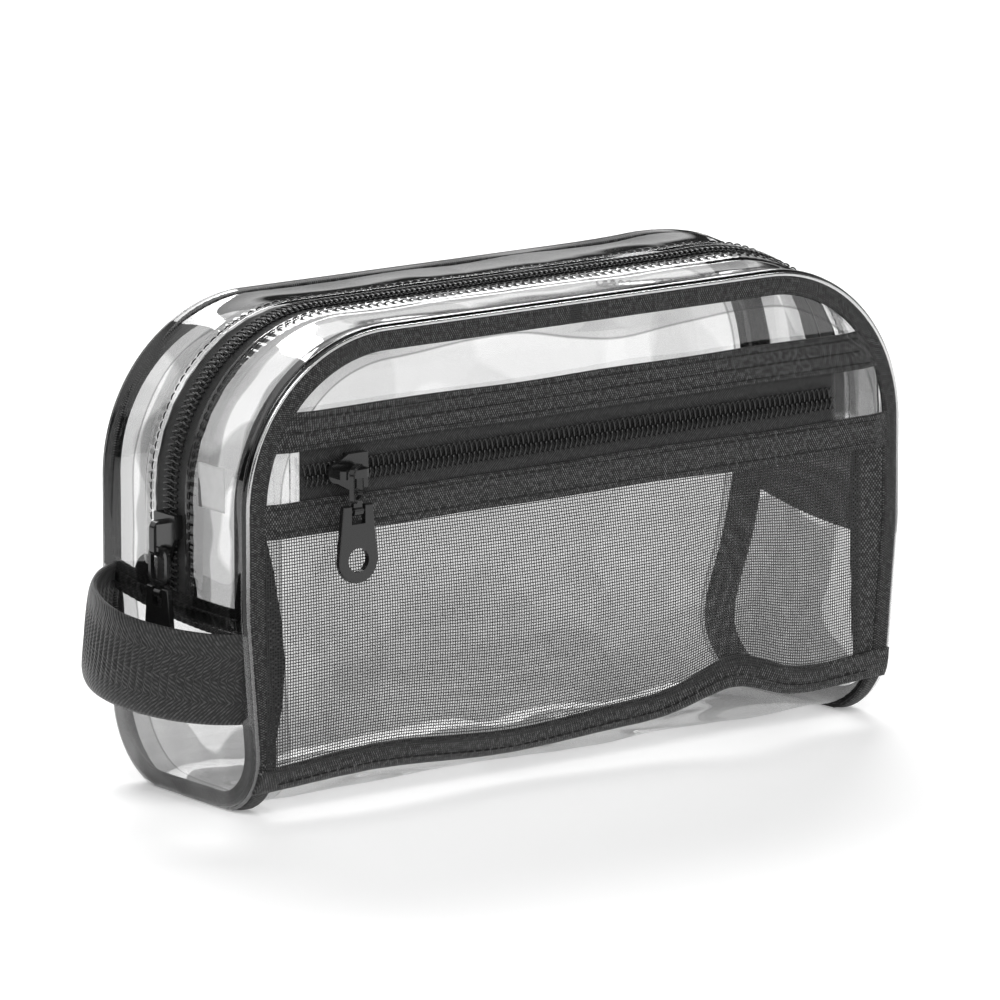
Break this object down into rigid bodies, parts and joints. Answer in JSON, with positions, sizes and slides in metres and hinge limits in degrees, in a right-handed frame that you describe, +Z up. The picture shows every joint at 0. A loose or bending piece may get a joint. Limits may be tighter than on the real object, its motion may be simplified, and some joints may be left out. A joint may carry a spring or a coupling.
{
  "type": "makeup bag",
  "caption": "Clear glossy box-shaped makeup bag with curved main zip, black woven binding, front mesh pocket with its own zip, and a webbing side handle.",
  "frame": {"origin": "middle of the flat bottom, on the surface the bag stands on", "axes": "+Z up, +X along the width with the side handle at -X, front pocket towards -Y"},
  "size_m": [0.2431, 0.0775, 0.1301],
  "materials": {
    "clear_vinyl": "clear flexible PVC sheet, glossy",
    "black_binding": "black woven polyester binding",
    "black_zip_tape": "black herringbone zip tape",
    "black_coil": "black nylon coil",
    "black_strip": "black woven tape, matt",
    "black_mesh": "black open square-grid mesh",
    "black_webbing": "black ribbed polyester webbing",
    "black_metal": "black electrophoretic lacquer on die-cast zinc, semi-gloss",
    "label_film": "blank translucent label film"
  },
  "bodies": {
    "root": {"body_sheet": "clear_vinyl", "gusset_strip_front": "clear_vinyl", "gusset_strip_back": "clear_vinyl", "side_panel_left": "clear_vinyl", "side_panel_right": "clear_vinyl", "pocket_end_tab_left": "clear_vinyl", "pocket_end_tab_right": "clear_vinyl", "seam_binding": "black_binding", "side_seam_tape_left": "black_binding", "side_seam_tape_right": "black_binding", "main_zip_tape_front": "black_zip_tape", "main_zip_tape_back": "black_zip_tape", "pocket_zip_tape_upper": "black_zip_tape", "pocket_zip_tape_lower": "black_zip_tape", "main_zip_coil_front": "black_coil", "main_zip_coil_back": "black_coil", "pocket_zip_coil_upper": "black_coil", "pocket_zip_coil_lower": "black_coil", "pocket_upper_strip": "black_strip", "pocket_lower_strip": "black_strip", "pocket_side_tape_left": "black_strip", "pocket_side_tape_right": "black_strip", "pocket_bottom_tape": "black_strip", "pocket_mesh": "black_mesh", "side_handle": "black_webbing", "label_blank": "label_film"},
    "main_slider": {"main_slider_body": "black_metal", "main_slider_bridge": "black_metal"},
    "main_link": {"main_pull_link": "black_metal"},
    "main_tab": {"main_pull_tab": "black_metal"},
    "pocket_slider": {"pocket_slider_body": "black_metal", "pocket_slider_bridge": "black_metal"},
    "pocket_link": {"pocket_pull_link": "black_metal"},
    "pocket_tab": {"pocket_pull_tab": "black_metal"}
  },
  "joints": [
    {"name": "main_zip_run", "type": "slide", "parent": "root", "child": "main_slider", "axis": [0, 0, 1], "range_m": [0, 0.009]},
    {"name": "main_link_swing", "type": "hinge", "parent": "main_slider", "child": "main_link", "pos_m": [-0.11405, 0, 0.06895], "axis": [0, 1, 0], "range_deg": [0, 15]},
    {"name": "main_tab_swing", "type": "hinge", "parent": "main_link", "child": "main_tab", "pos_m": [-0.11405, 0, 0.05715], "axis": [0, 1, 0], "range_deg": [0, 20]},
    {"name": "pocket_zip_run", "type": "slide", "parent": "root", "child": "pocket_slider", "axis": [1, 0, 0], "range_m": [0, 0.157]},
    {"name": "pocket_link_swing", "type": "hinge", "parent": "pocket_slider", "child": "pocket_link", "pos_m": [-0.0795, -0.0415, 0.0919], "axis": [-1, 0, 0], "range_deg": [0, 120]},
    {"name": "pocket_tab_swing", "type": "hinge", "parent": "pocket_link", "child": "pocket_tab", "pos_m": [-0.0795, -0.0415, 0.08205], "axis": [-1, 0, 0], "range_deg": [0, 60]}
  ]
}
